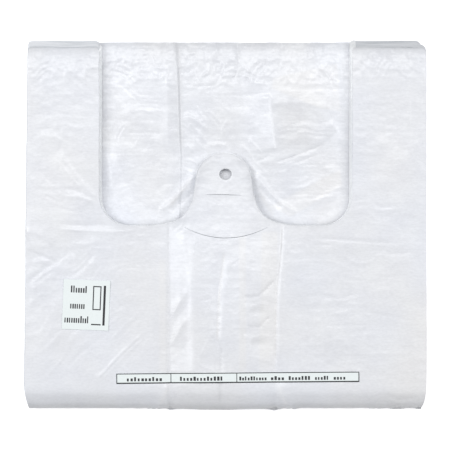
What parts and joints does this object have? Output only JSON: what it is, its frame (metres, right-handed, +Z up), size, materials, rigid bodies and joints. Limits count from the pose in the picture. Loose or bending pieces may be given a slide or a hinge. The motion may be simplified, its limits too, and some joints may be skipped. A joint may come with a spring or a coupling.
{
  "type": "folded pack of plastic carrier bags",
  "caption": "Flat block of thin white film vest carrier bags folded in half, with a handle cut-out, a holed hanging tab and small paper labels.",
  "frame": {"origin": "centre of the bounding box's base, on the surface that the pack lies on", "axes": "+Z up through the pack, +Y towards the open end with the handles, +X to the right as seen from above with the handles away from the viewer"},
  "size_m": [0.2512, 0.2294, 0.0177],
  "materials": {
    "white_film": "cool white, slightly translucent polyethylene film with a soft sheen, fine stretch lines and crinkles",
    "label_paper": null
  },
  "bodies": {
    "root": {"bag_pack": "white_film", "square_label": "label_paper", "strip_label": "label_paper"}
  },
  "joints": []
}
